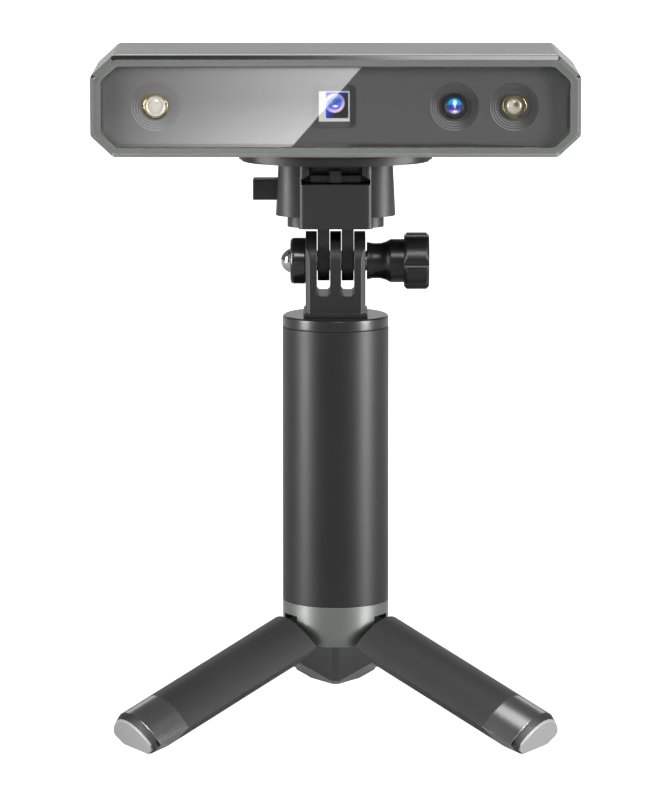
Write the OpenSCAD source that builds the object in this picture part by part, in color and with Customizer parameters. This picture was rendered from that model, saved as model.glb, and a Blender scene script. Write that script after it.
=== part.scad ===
// Handheld scanner on a grip handle with three folding legs.
// Frame: millimetres, +Z up, the front of the scanner faces -Y, +X to its right.
// The floor is z = 0, where the feet rest with the legs open.

/* [Scanner head] */
// Width of the head along X
head_w = 120; // [100:1:140]
// Height of the head along Z
head_h = 25; // [22:0.5:28]
// Depth of the head along Y
head_d = 40; // [36:1:46]
// Height of the head's underside above the floor
head_z = 145.9; // [140:0.1:152]
// Corner cut of the octagonal outline along X
corner_x = 5.6; // [4:0.1:8]
// Corner cut of the octagonal outline along Z
corner_z = 5.2; // [4:0.1:8]
// Depth of the bevel on the front and rear outer edges
edge_y = 1.1; // [0.5:0.1:2]
// Height of the bevel on the front and rear outer edges
edge_n = 1.0; // [0.4:0.1:1.5]
// Wall of the extruded body shell
shell_wall = 1.8; // [1.4:0.1:2.6]
// Width of the front window
glass_w = 114.6; // [96:0.1:116]
// Height of the front window
glass_h = 19.9; // [16:0.1:21]
// Thickness of the front window
glass_t = 1.4; // [1:0.1:2]

/* [Optics] */
// Left infrared camera position along X
ir_left_x = -44.0; // [-50:0.1:-36]
// Right infrared camera position along X
ir_right_x = 43.7; // [38:0.1:50]
// Colour camera position along X
rgb_x = 29.1; // [24:0.1:32]
// Outer radius of the infrared camera barrels
ir_r = 3.0; // [2.6:0.1:3.4]
// Outer radius of the colour camera barrel
rgb_r = 3.26; // [2.8:0.02:3.6]
// Projector position along X
proj_x = -0.35; // [-2:0.05:2]
// Width of the projector's square frame
proj_w = 7.5; // [6:0.1:9]

/* [Quick release] */
// Half length of the oval plate along X
plate_a = 24; // [20:0.5:26]
// Half length of the oval plate along Y
plate_b = 17.5; // [15:0.5:19]
// Width of the base at the top of its body
base_top_w = 28.3; // [26:0.1:32]
// Width of the base at the foot of its body
base_low_w = 29.6; // [27:0.1:33]
// Gap between the sliding tongue and its channel
slide_gap = 0.25; // [0.1:0.05:0.4]
// Travel of the release button
button_travel = 2.5; // [1.5:0.1:3]

/* [Tilt hinge] */
// Height of the tilt hinge above the floor
hinge_z = 118.1; // [116:0.1:121]
// Radius of the clamp screw
screw_r = 2.5; // [2:0.05:3]
// Outer radius of the bracket fingers
fork_r = 7.4; // [6.5:0.1:8]
// Outer radius of the base fingers
finger_r = 5.0; // [4.2:0.1:6]

/* [Handle] */
// Radius of the handle
grip_r = 13.25; // [12:0.05:15]
// Lower end of the grip sleeve
grip_z0 = 32.5; // [30:0.1:36]
// Upper end of the grip sleeve
grip_z1 = 101.8; // [95:0.1:104]
// Top of the end cap
cap_z = 104.7; // [103:0.1:107]
// Lower end of the collar
collar_z = 22.55; // [22.4:0.05:24]

/* [Legs] */
// Angle of the open legs below the horizontal
leg_drop = 24.42; // [22:0.01:27]
// Length of the plain part of a leg
leg_len = 39.66; // [35:0.01:45]
// Length of the glossy end sleeve
ferrule_len = 8.64; // [7:0.01:14]
// Thickness of the dark ring behind the end pad
ring_len = 1.6; // [1:0.1:3]
// Thickness of the end pad
pad_len = 0.6; // [0.4:0.1:2]
// Distance of the leg pivot from the handle axis
pivot_rho = 8.65; // [8:0.01:9.5]
// Height of the leg pivot above the floor
pivot_z = 26.87; // [26:0.01:28]
// Radius of the leg pins
pin_r = 1.25; // [1:0.05:1.5]

/* [Hidden] */
// the handle axis in Y, so the whole part is centred on the origin
axis_y = -11.164;
head_zc = head_z + head_h/2;
yf = -head_d/2;
yr = head_d/2;
// the window and the optics behind it sit a little below the middle of the head
win_z = -0.15;
leg_az = [120, 240, 0];
leg_rho0 = 9.23;
leg_z0 = 17.1;
// pivot seen from a leg's own origin: along the leg and across it
piv_s = (pivot_rho - leg_rho0)*cos(leg_drop) - (pivot_z - leg_z0)*sin(leg_drop);
piv_w = (pivot_rho - leg_rho0)*sin(leg_drop) + (pivot_z - leg_z0)*cos(leg_drop);
ring_s = leg_len + ferrule_len;
pad_s = ring_s + ring_len;
$fn = 96;

// ---------- drawing helpers ----------
module at_axis() translate([0, axis_y, 0]) children();
module at_head() translate([0, axis_y, head_zc]) children();
// profile in (x, z), from y0 back to y1
module yext(y0, y1) translate([0, y1, 0]) rotate([90, 0, 0]) linear_extrude(height = y1 - y0) children();
// profile in (y, z), from x0 to x1
module xext(x0, x1) translate([x0, 0, 0]) rotate([90, 0, 90]) linear_extrude(height = x1 - x0) children();
module ycyl(r, y0, y1) translate([0, y0, 0]) rotate([-90, 0, 0]) cylinder(r = r, h = y1 - y0);
module xcyl(r, x0, x1) translate([x0, 0, 0]) rotate([0, 90, 0]) cylinder(r = r, h = x1 - x0);
module box(x0, x1, y0, y1, z0, z1) translate([x0, y0, z0]) cube([x1 - x0, y1 - y0, z1 - z0]);

function oct(w, h, cx, cz) = [[-w/2 + cx, -h/2], [w/2 - cx, -h/2], [w/2, -h/2 + cz], [w/2, h/2 - cz],
  [w/2 - cx, h/2], [-w/2 + cx, h/2], [-w/2, h/2 - cz], [-w/2, -h/2 + cz]];
// octagon with rounded corners: circles of radius r joined by the polygon through their tangent points
module roct(w, h, cx, cz, r) {
  p = oct(w, h, cx, cz);
  function unit(v) = v/norm(v);
  function tan_len(i) = let (a = unit(p[(i + 7) % 8] - p[i]), b = unit(p[(i + 1) % 8] - p[i]), half = acos(a*b)/2) r/tan(half);
  polygon([for (i = [0:7], k = [0, 1]) p[i] + unit(p[(i + (k == 0 ? 7 : 1)) % 8] - p[i])*tan_len(i)]);
  for (i = [0:7]) {
    a = unit(p[(i + 7) % 8] - p[i]);
    b = unit(p[(i + 1) % 8] - p[i]);
    translate(p[i] + unit(a + b)*r/sin(acos(a*b)/2)) circle(r = r);
  }
}
module outer() roct(head_w, head_h, corner_x, corner_z, 1.8);
module inner() polygon(oct(head_w - 2*shell_wall, head_h - 2*shell_wall, corner_x - 1.05, corner_z - 1.0));
module window() translate([0, win_z]) roct(glass_w, glass_h, 3.9, 3.6, 1.8);
module rrect(w, h, r) {
  square([w - 2*r, h], center = true);
  square([w, h - 2*r], center = true);
  for (sx = [-1, 1], sy = [-1, 1]) translate([sx*(w/2 - r), sy*(h/2 - r)]) circle(r = r);
}
// four-arc oval, a and b half lengths, r end radius
module oval(a, b, r) {
  c = a - r;
  k = (c*c - (b - r)*(b - r))/(2*(b - r));
  big = b + k;
  tx = c*big/(big - r);
  ty = k*big/(big - r) - k;
  for (s = [-1, 1]) translate([s*c, 0]) circle(r = r);
  square([2*tx, 2*ty], center = true);
  for (s = [0, 1]) mirror([0, s]) intersection() {
    translate([0, -k]) circle(r = big, $fn = 180);
    translate([-tx, ty - 0.01]) square([2*tx, b]);
  }
}
// bevel cutter along every edge of the octagon: y0 is the face, dir points into the solid
module bevels(y0, dir) {
  p = oct(head_w, head_h, corner_x, corner_z);
  for (i = [0:7]) {
    a = p[i];
    b = p[(i + 1) % 8];
    th = atan2(b[1] - a[1], b[0] - a[0]);
    len = norm(b - a);
    translate([a[0], y0, a[1]]) rotate([0, -th, 0]) xext(-3, len + 3)
      polygon([[-0.5*edge_y*dir, 1.5*edge_n], [1.5*edge_y*dir, -0.5*edge_n], [-0.5*edge_y*dir, -0.5*edge_n]]);
  }
}
// solid spherical cap whose tip is at y_tip and whose rim has radius r
module cap_dome(r, rise, y_tip, y_back) {
  rad = (r*r + rise*rise)/(2*rise);
  intersection() {
    translate([0, y_tip + rad, 0]) sphere(r = rad);
    ycyl(r, y_tip - 0.5, y_back);
  }
}

// ---------- scanner head ----------
module front_bezel() color([0.42, 0.43, 0.42]) at_head() difference() {
  union() {
    yext(yf, yf + 4.3) outer();
    yext(yf + 4.2, yf + 5.8) inner();
  }
  yext(yf - 1, yf + 7) window();
  bevels(yf, 1);
}

module front_glass() color([0.1, 0.1, 0.1, 0.35]) at_head() yext(yf + 0.4, yf + 0.4 + glass_t) window();

module glass_gasket() color([0.03, 0.03, 0.03]) at_head() yext(yf + 1.8, yf + 2.3) difference() {
  window();
  translate([0, win_z]) roct(glass_w - 1.6, glass_h - 1.6, 3.6, 3.3, 1.2);
}

module optics_face_plate() color([0.24, 0.24, 0.24]) at_head() difference() {
  yext(yf + 2.3, yf + 4.3) window();
  for (x = [ir_left_x, rgb_x, ir_right_x]) translate([x, 0, win_z]) {
    ycyl(5.8, yf + 1, yf + 2.6);
    ycyl(5.2, yf + 1, yf + 2.9);
    ycyl(4.6, yf + 1, yf + 3.2);
    ycyl(4.0, yf + 1, yf + 3.5);
    ycyl(x == rgb_x ? rgb_r : ir_r, yf + 1, yf + 6);
  }
  translate([proj_x, 0, win_z]) yext(yf + 1, yf + 2.9) rrect(10.9, 10.6, 2);
  translate([proj_x, 0, win_z]) yext(yf + 1, yf + 6) square([proj_w, proj_w - 0.1], center = true);
}

module body_shell() color([0.4, 0.41, 0.4]) at_head() difference() {
  union() {
    difference() {
      yext(yf + 4.3, yr - 2) outer();
      yext(yf + 4, yr - 1) inner();
    }
    // corner bosses for the case screws
    for (sx = [-1, 1], sz = [-1, 1])
      box(sx > 0 ? 50.2 : -58.3, sx > 0 ? 58.3 : -50.2, 4, yr - 3.2, sz > 0 ? 4.6 : -8.7, sz > 0 ? 8.7 : -4.6);
    for (sx = [-1, 1], sz = [-1, 1])
      box(sx > 0 ? 50.2 : -54.5, sx > 0 ? 54.5 : -50.2, 4, yr - 3.2, sz > 0 ? 8.0 : -10.8, sz > 0 ? 10.8 : -8.0);
    // posts for the main board
    for (x = [-46, 46], y = [-3.5, 12.5]) translate([x, y, -10.9]) cylinder(r = 2.6, h = 10.9 - 3.2);
    // boss round the tripod insert
    translate([0, 0, -head_h/2]) cylinder(r = 7.5, h = 4.3);
  }
  for (sx = [-1, 1], sz = [-1, 1]) translate([sx*52.5, 0, sz*6.6]) ycyl(1.0, 7.9, yr);
  for (x = [-46, 46], y = [-3.5, 12.5]) translate([x, y, -8]) cylinder(r = 1.1, h = 8);
  translate([0, 0, -head_h/2 - 1]) cylinder(r = 4.6, h = 8);
}

module rear_cover() color([0.4, 0.41, 0.4]) at_head() difference() {
  union() {
    yext(yr - 2, yr) outer();
    yext(yr - 3.2, yr - 1.9) difference() {
      inner();
      square([107, 30], center = true);
    }
    yext(yr - 3.2, yr - 1.9) for (s = [-1, 1]) translate([0, s*10.1]) square([90, 1.2], center = true);
  }
  bevels(yr, -1);
  for (sx = [-1, 1], sz = [-1, 1]) translate([sx*52.5, 0, sz*6.6]) {
    ycyl(1.2, yr - 5, yr + 1);
    ycyl(2.1, yr - 1.2, yr + 1);
  }
  translate([-20, 0, 0]) ycyl(3.05, yr - 5, yr + 1);
  translate([-10, 0, 0]) ycyl(1.0, yr - 5, yr + 1);
  translate([18, 0, 0]) yext(yr - 5, yr + 1) rrect(9.0, 3.3, 1.62);
}

module optical_bench() color([0.6, 0.61, 0.62]) at_head() difference() {
  union() {
    yext(yf + 7.3, yf + 10.3) inner();
    for (x = [-52, -30, 16, 52], z = [-6, 6]) translate([x, 0, z]) ycyl(1.8, yf + 4.3, yf + 8);
  }
  for (x = [ir_left_x, rgb_x, ir_right_x]) translate([x, 0, win_z]) ycyl(x == rgb_x ? rgb_r : ir_r, yf + 4, yf + 12);
  translate([proj_x, 0, win_z]) yext(yf + 4, yf + 12) square([9, 9], center = true);
  // lightening windows
  for (x = [-22, -11.5, 11.5]) translate([x, 0, 0]) yext(yf + 4, yf + 12) rrect(7, 12, 1.5);
}

module main_board() color([0.05, 0.22, 0.1]) at_head() difference() {
  box(-49.5, 49.5, -6.5, 15.4, -3.2, -1.6);
  for (x = [-46, 46], y = [-3.5, 12.5]) translate([x, y, -4]) cylinder(r = 1.3, h = 4);
}

module board_chips() color([0.06, 0.06, 0.07]) at_head() {
  box(-32, -20, -4, 7, -1.6, 0);
  box(-14, -6, -3, 5, -1.6, 0);
  box(-1, 11, -4, 7, -1.6, 0);
  box(16, 24, -3, 5, -1.6, 0);
  for (x = [ir_left_x + 4, rgb_x + 3, ir_right_x - 4.5]) box(x - 3, x + 3, -5.6, -3.1, -1.6, -0.4);
}

module heat_spreader() color([0.7, 0.71, 0.72]) at_head() {
  difference() {
    union() {
      box(-33, 25, -4, 7, 0, 1.4);
      for (i = [0:5]) box(-31, 23, -3.6 + i*1.9, -2.9 + i*1.9, 1.3, 9.6);
    }
    box(-60, 60, -10, 10, 12, 14);
  }
}

module usb_c_port() color([0.75, 0.75, 0.76]) at_head() translate([18, 0, 0]) {
  difference() {
    yext(11, yr - 0.3) rrect(8.94, 3.2, 1.58);
    yext(12, yr + 1) rrect(8.34, 2.6, 1.28);
  }
  box(-3.35, 3.35, 11.5, yr - 1.2, -0.35, 0.35);
}

module status_light_pipe() color([0.8, 0.85, 0.8]) at_head() translate([-10, 0, 0]) {
  ycyl(1.0, 16.2, yr);
  box(-1.6, 1.6, 14.2, 16.3, -1.6, 1.2);
}

module button_switch() color([0.12, 0.12, 0.13]) at_head() translate([-20, 0, 0]) {
  box(-3, 3, 11.6, 15.4, -1.6, 1.9);
  ycyl(0.9, 15.3, 16.3);
}

module power_button() color([0.05, 0.05, 0.05]) at_head() translate([-20, 0, 0]) {
  ycyl(3.0, 17.2, yr + 0.6);
  ycyl(3.9, 17.0, 17.6);
}

module ir_barrel(x) at_head() translate([x, 0, win_z]) difference() {
  union() {
    ycyl(ir_r, yf + 2.7, yf + 11);
    ycyl(4.2, yf + 10.3, yf + 11);
  }
  ycyl(2.5, yf + 2, yf + 9.5);
}
module ir_lens(x) at_head() translate([x, 0, win_z]) cap_dome(2.5, 0.8, yf + 2.5, yf + 9.0);

module left_ir_barrel() color([0.62, 0.5, 0.3]) ir_barrel(ir_left_x);
module left_ir_lens() color([0.85, 0.8, 0.68]) ir_lens(ir_left_x);
module right_ir_barrel() color([0.62, 0.5, 0.3]) ir_barrel(ir_right_x);
module right_ir_lens() color([0.75, 0.68, 0.5]) ir_lens(ir_right_x);

module rgb_barrel() color([0.04, 0.04, 0.04]) at_head() translate([rgb_x, 0, win_z]) difference() {
  union() {
    ycyl(rgb_r, yf + 2.7, yf + 11);
    ycyl(4.4, yf + 10.3, yf + 11);
  }
  ycyl(1.9, yf + 2, yf + 9.5);
}
module rgb_lens() color([0.1, 0.3, 0.7]) at_head() translate([rgb_x, 0, win_z]) cap_dome(1.9, 0.5, yf + 2.9, yf + 9.0);

module projector_housing() color([0.08, 0.08, 0.09]) at_head() translate([proj_x, 0, win_z]) difference() {
  union() {
    yext(yf + 4.3, yf + 12.5) square([9, 9], center = true);
    yext(yf + 12.5, yf + 13.3) square([12, 11], center = true);
  }
  translate([0.15, 0, 0.7]) ycyl(2.5, yf + 4, yf + 12);
}

module projector_frame() color([0.88, 0.88, 0.86]) at_head() translate([proj_x, 0, win_z]) difference() {
  yext(yf + 2.6, yf + 3.8) square([proj_w, proj_w - 0.1], center = true);
  yext(yf + 2, yf + 5) translate([0.72, 0.26]) rrect(5.5, 6.4, 0.3);
}

module projector_lens() color([0.12, 0.2, 0.5]) at_head() translate([proj_x + 0.15, 0, win_z + 0.7])
  cap_dome(2.5, 0.6, yf + 3.9, yf + 10);

module sensor_boards() color([0.05, 0.2, 0.1]) at_head()
  for (x = [ir_left_x, rgb_x, ir_right_x]) box(x - 6, x + 6, yf + 11, yf + 12, -8, 8);

module flex_cables() color([0.75, 0.45, 0.12]) at_head()
  for (x = [ir_left_x + 4, rgb_x + 3, ir_right_x - 4.5]) {
    box(x - 1.9, x + 1.9, yf + 12, yf + 15.8, 3.0, 3.3);
    box(x - 1.9, x + 1.9, yf + 15.5, yf + 15.8, -0.4, 3.3);
  }

module tripod_insert() color([0.78, 0.62, 0.32]) at_head() difference() {
  translate([0, 0, -head_h/2]) cylinder(r = 4.6, h = 4.3);
  translate([0, 0, -head_h/2 - 1]) cylinder(r = 3.175, h = 4.7);
}

module case_screws() color([0.25, 0.25, 0.26]) at_head()
  for (sx = [-1, 1], sz = [-1, 1]) translate([sx*52.5, 0, sz*6.6]) difference() {
    union() {
      ycyl(1.0, 8.5, yr - 1);
      ycyl(1.9, yr - 1.2, yr - 0.2);
    }
    yext(yr - 0.8, yr + 1) circle(r = 0.9, $fn = 6);
  }

module board_screws() color([0.7, 0.7, 0.7]) at_head()
  for (x = [-46, 46], y = [-3.5, 12.5]) translate([x, y, 0]) {
    translate([0, 0, -7]) cylinder(r = 1.1, h = 6);
    translate([0, 0, -1.6]) cylinder(r = 2.1, h = 1.2);
  }

// ---------- quick-release plate ----------
module mounting_plate() color([0.09, 0.09, 0.09]) at_axis() difference() {
  union() {
    translate([0, 0, head_z - 2.2]) linear_extrude(height = 1.7) oval(plate_a, plate_b, plate_a - 10);
    translate([0, 0, head_z - 2.7]) linear_extrude(height = 0.6) oval(plate_a - 0.7, plate_b - 0.7, plate_a - 10.7);
    // dovetail tongue
    yext(-9.5, 11) polygon([[-6.5 + slide_gap, head_z - 2.5], [-6.5 + slide_gap, head_z - 4.8], [-8.5 + slide_gap, head_z - 6.0], [-8.5 + slide_gap, head_z - 7.0],
      [8.5 - slide_gap, head_z - 7.0], [8.5 - slide_gap, head_z - 6.0], [6.5 - slide_gap, head_z - 4.8], [6.5 - slide_gap, head_z - 2.5]]);
    // stepped nose of the tongue with its middle rib
    box(-6.2, 6.2, -12.2, -9, head_z - 6.85, head_z - 5.2);
    box(-5.65, 5.65, -11.2, -9, head_z - 4.1, head_z - 2.5);
    box(-1.35, 1.35, -12.8, -9, head_z - 6.9, head_z - 4.0);
  }
  translate([0, 0, head_z - 8]) cylinder(r = 3.175, h = 10);
  translate([0, 0, head_z - 8]) cylinder(r = 5.3, h = 3.4);
  // notch for the latch on the left side of the tongue
  box(-9, -6.6, -6.2, 0.9, head_z - 7.5, head_z - 5.2);
}

module plate_pad() color([0.04, 0.04, 0.04]) at_axis() difference() {
  translate([0, 0, head_z - 0.5]) linear_extrude(height = 0.5) oval(plate_a - 0.6, plate_b - 0.6, plate_a - 10.6);
  translate([0, 0, head_z - 1]) cylinder(r = 3.175, h = 2);
}

module camera_screw() color([0.7, 0.7, 0.7]) at_axis() difference() {
  union() {
    translate([0, 0, head_z - 4.7]) cylinder(r = 3.175, h = 8.2);
    translate([0, 0, head_z - 6.7]) cylinder(r = 5.0, h = 2.1);
  }
  box(-6, 6, -0.6, 0.6, head_z - 7, head_z - 5.7);
}

// ---------- quick-release base ----------
module quick_release_base() color([0.09, 0.09, 0.09]) at_axis() difference() {
  union() {
    intersection() {
      translate([0, 0, 130.5]) linear_extrude(height = head_z - 2.85 - 130.5) rrect(base_low_w, 28, 6.4);
      yext(-20, 20) polygon([[-base_low_w/2, 130.5], [base_low_w/2, 130.5], [base_top_w/2, head_z - 2.7], [-base_top_w/2, head_z - 2.7]]);
    }
    translate([0, 0, 127.6]) linear_extrude(height = 3.0) rrect(23.9, 23.4, 4.6);
    // block standing out at the front, with the mouth of the channel in its top
    translate([0, -9.5, 127.6]) linear_extrude(height = head_z - 2.85 - 127.6) rrect(18.3, 10, 1.5);
    for (s = [-1, 1]) xext(s*3 - 1.5, s*3 + 1.5) {
      translate([0, hinge_z]) circle(r = finger_r);
      polygon([[-finger_r, hinge_z], [finger_r, hinge_z], [finger_r + 0.8, 127.7], [-finger_r - 0.8, 127.7]]);
    }
  }
  // dovetail channel, open at the front
  yext(-20, 11.3) polygon([[-6.5, head_z], [-6.5, head_z - 4.83], [-8.5, head_z - 5.98], [-8.5, head_z - 7.3],
    [8.5, head_z - 7.3], [8.5, head_z - 5.98], [6.5, head_z - 4.83], [6.5, head_z]]);
  // pocket of the release button
  box(-20, -9.5, -6.0, 0.7, 133.6, 139.3);
  translate([0, 0, hinge_z]) xcyl(screw_r + 0.05, -8, 8);
}

module release_button() color([0.09, 0.09, 0.09]) at_axis() {
  box(-20.5, -12.7, -5.75, 0.45, 133.9, 139.0);
  // latch step behind the face
  box(-12.8, -12.2, -4.5, -0.8, 134.5, 138.4);
}

// ---------- clamp ----------
module thumb_knob() color([0.07, 0.07, 0.07]) at_axis() translate([0, 0, hinge_z]) difference() {
  union() {
    rotate([0, 90, 0]) rotate_extrude() polygon([[0, 7.75], [4.65, 7.75], [4.65, 8.2], [4.45, 9.2], [4.4, 10.2], [4.5, 11.4],
      [4.8, 12.4], [5.4, 13.6], [5.45, 13.8], [5.45, 17.1], [0, 17.1]]);
    rotate([0, 90, 0]) rotate_extrude() polygon([[0, 17.0], [6.4, 17.0], [7.1, 17.7], [7.1, 22.6], [6.4, 23.3], [0, 23.3]]);
  }
  // six grip notches
  for (i = [0:5]) rotate([30 + i*60, 0, 0]) translate([0, 0, 8.35]) xcyl(1.9, 16.9, 24);
  xcyl(screw_r, 7, 20);
}

module clamp_screw() color([0.6, 0.6, 0.62]) at_axis() translate([0, 0, hinge_z]) xcyl(screw_r, -12.2, 20);

// ---------- handle ----------
module fork_bracket() color([0.1, 0.1, 0.1]) at_axis() difference() {
  union() {
    xext(-7.5, 7.45) {
      translate([0, hinge_z]) circle(r = fork_r);
      translate([-fork_r, cap_z]) square([2*fork_r, hinge_z - cap_z]);
    }
    box(-8.0, 7.95, -fork_r - 0.5, fork_r + 0.5, cap_z, cap_z + 1.0);
  }
  for (x0 = [-4.65, 1.4]) {
    w = 3.25 - (x0 > 0 ? 0.05 : 0);
    yext(-12, 12) translate([x0 + w/2, cap_z + 5.35 + 10]) rrect(w, 20, 1.0);
  }
  // bevels on the upright corners
  for (sx = [-1, 1], sy = [-1, 1]) translate([sx > 0 ? 7.45 : -7.5, sy*fork_r, cap_z + 1.0]) rotate([0, 0, 45])
    translate([-0.78, -0.78, 0]) cube([1.56, 1.56, 30]);
  translate([0, 0, hinge_z]) xcyl(screw_r + 0.05, -10, 10);
  translate([0, 0, cap_z - 1]) cylinder(r = 2.0, h = 5);
}

module nut_housing() color([0.07, 0.07, 0.07]) at_axis() translate([0, 0, hinge_z]) difference() {
  rotate([0, -90, 0]) rotate_extrude() polygon([[0, 7.5], [5.5, 7.5], [5.8, 7.9], [5.8, 10.7], [5.3, 11.3], [0, 11.3]]);
  translate([-8.4, 0, 0]) rotate([0, -90, 0]) cylinder(r = 4.4, h = 5, $fn = 6);
  xcyl(screw_r + 0.05, -12, -7);
}

module cap_nut() color([0.8, 0.8, 0.82]) at_axis() translate([0, 0, hinge_z]) difference() {
  union() {
    translate([-8.4, 0, 0]) rotate([0, -90, 0]) cylinder(r = 4.4, h = 2.7, $fn = 6);
    intersection() {
      translate([-10.55, 0, 0]) sphere(r = 3.15);
      xcyl(3.15, -14, -10.5);
    }
  }
  xcyl(screw_r + 0.05, -12.4, -8);
}

module bracket_bolt() color([0.5, 0.5, 0.52]) at_axis() {
  translate([0, 0, cap_z - 6.0]) cylinder(r = 2.0, h = 9.8);
  translate([0, 0, cap_z - 9.0]) cylinder(r = 3.8, h = 3.1);
}

module top_cap() color([0.05, 0.05, 0.05]) at_axis() difference() {
  union() {
    rotate_extrude() polygon([[0, grip_z1], [grip_r - 0.15, grip_z1], [grip_r - 0.05, grip_z1 + 0.2], [grip_r - 0.05, cap_z - 0.55],
      [grip_r - 0.2, cap_z - 0.2], [grip_r - 0.55, cap_z], [0, cap_z]]);
    translate([0, 0, grip_z1 - 9]) cylinder(r = 10.45, h = 9.1);
  }
  translate([0, 0, 80]) cylinder(r = 2.0, h = 40);
  translate([0, 0, 80]) cylinder(r = 3.8, h = cap_z - 6 + 0.1 - 80);
}

module grip_sleeve() color([0.2, 0.2, 0.2]) at_axis() translate([0, 0, grip_z0]) difference() {
  cylinder(r = grip_r, h = grip_z1 - grip_z0);
  translate([0, 0, -1]) cylinder(r = 12.0, h = grip_z1 - grip_z0 + 2);
}

module core_tube() color([0.6, 0.61, 0.62]) at_axis() translate([0, 0, grip_z0]) difference() {
  cylinder(r = 12.0, h = grip_z1 - grip_z0);
  translate([0, 0, -1]) cylinder(r = 10.5, h = grip_z1 - grip_z0 + 2);
}

// room swept by one leg: profile in (distance from pivot, height from pivot)
module leg_room() for (i = [0:2]) rotate([0, 0, leg_az[i] + 90]) translate([pivot_rho, 0, pivot_z]) {
  translate([0, 14, 0]) rotate([90, 0, 0]) linear_extrude(height = 28) difference() {
    translate([-9, -14]) square([24, 24]);
    circle(r = 4.5);
    polygon([[-9.1, -4.5], [0, -4.5], [0, 0], [4.098, -1.86], [9.48, 10.1], [-9.1, 10.1]]);
  }
  box(-2.8, 8, -3, 3, -8, 2.73);
}

module hub_collar() color([0.55, 0.56, 0.54]) at_axis() difference() {
  translate([0, 0, collar_z]) cylinder(r = grip_r, h = grip_z0 - collar_z);
  translate([0, 0, collar_z - 1]) cylinder(r = 11.9, h = grip_z0 - collar_z + 2);
  leg_room();
}

module hinge_block() color([0.12, 0.12, 0.12]) at_axis() difference() {
  union() {
    translate([0, 0, collar_z]) cylinder(r = 11.9, h = grip_z0 - collar_z);
    translate([0, 0, grip_z0 - 0.1]) cylinder(r = 10.45, h = 9.1);
  }
  leg_room();
  for (i = [0:2]) rotate([0, 0, leg_az[i] + 90]) translate([pivot_rho, 0, pivot_z]) ycyl(pin_r, -6.5, 6.5);
  translate([0, 0, collar_z - 1]) cylinder(r = 1.6, h = 30);
  translate([0, 0, collar_z - 1]) cylinder(r = 2.9, h = 3.4);
}

module hub_screw() color([0.4, 0.4, 0.42]) at_axis() difference() {
  union() {
    translate([0, 0, collar_z + 2.4]) cylinder(r = 1.6, h = 15);
    translate([0, 0, collar_z + 0.3]) cylinder(r = 2.9, h = 2.1);
  }
  translate([0, 0, collar_z]) cylinder(r = 1.4, h = 1.6, $fn = 6);
}

module hinge_pins() color([0.7, 0.7, 0.72]) at_axis()
  for (i = [0:2]) rotate([0, 0, leg_az[i] + 90]) translate([pivot_rho, 0, pivot_z]) ycyl(pin_r, -6.5, 6.5);

// ---------- legs ----------
// leg frame: Z along the leg, Y across it towards the round side
module leg_frame(i) translate([0, axis_y, 0]) rotate([0, 0, leg_az[i]]) translate([0, leg_rho0, leg_z0])
  rotate([-(90 + leg_drop), 0, 0]) rotate([0, 0, 180]) children();
// 120 degree sector with a blunt tip, inset all round by g
module sector(g) intersection() {
  circle(r = grip_r - g);
  polygon([[-0.9, 0.75 + 1.2*g], [0.9, 0.75 + 1.2*g], [21, 0.2 + 1.155*g + 21*tan(30)], [21, 30], [-21, 30], [-21, 0.2 + 1.155*g + 21*tan(30)]]);
}
module floor_cut() translate([-100, -100, -60]) cube([200, 200, 60]);

module leg_shell(i) color([0.2, 0.2, 0.2]) leg_frame(i) difference() {
  union() {
    difference() {
      linear_extrude(height = leg_len) sector(0);
      translate([0, 0, 8]) linear_extrude(height = leg_len) sector(2.2);
    }
    // tang to the pivot
    xext(-2.7, 2.7) {
      translate([piv_w, piv_s]) circle(r = 2.45);
      translate([piv_w - 2.45, piv_s]) square([4.9, 1 - piv_s]);
    }
  }
  translate([0, piv_w, piv_s]) xcyl(pin_r + 0.05, -4, 4);
}

module leg_ferrule(i) color([0.12, 0.12, 0.12]) difference() {
  leg_frame(i) {
    translate([0, 0, leg_len]) linear_extrude(height = ferrule_len) sector(0);
    translate([0, 0, leg_len - 6]) linear_extrude(height = 6.1) sector(2.2);
  }
  floor_cut();
}

module leg_ring(i) color([0.06, 0.06, 0.06]) difference() {
  leg_frame(i) intersection() {
    translate([0, 0, ring_s]) linear_extrude(height = ring_len) sector(0);
    translate([0, 0, ring_s]) cylinder(r1 = grip_r, r2 = grip_r - 0.85, h = ring_len);
    translate([-10.4, 0, ring_s - 1]) cube([20.8, 14, 5]);
  }
  floor_cut();
}

module leg_foot(i) color([0.75, 0.76, 0.76]) difference() {
  leg_frame(i) intersection() {
    translate([0, 0, pad_s]) linear_extrude(height = pad_len) sector(0.2);
    translate([0, 0, pad_s]) cylinder(r1 = grip_r - 0.85, r2 = grip_r - 1.2, h = pad_len);
    translate([-9.75, 0, pad_s - 1]) cube([19.5, 14, 5]);
  }
  floor_cut();
}

module leg_1_shell() leg_shell(0);
module leg_1_ferrule() leg_ferrule(0);
module leg_1_ring() leg_ring(0);
module leg_1_foot() leg_foot(0);
module leg_2_shell() leg_shell(1);
module leg_2_ferrule() leg_ferrule(1);
module leg_2_ring() leg_ring(1);
module leg_2_foot() leg_foot(1);
module leg_3_shell() leg_shell(2);
module leg_3_ferrule() leg_ferrule(2);
module leg_3_ring() leg_ring(2);
module leg_3_foot() leg_foot(2);

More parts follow.
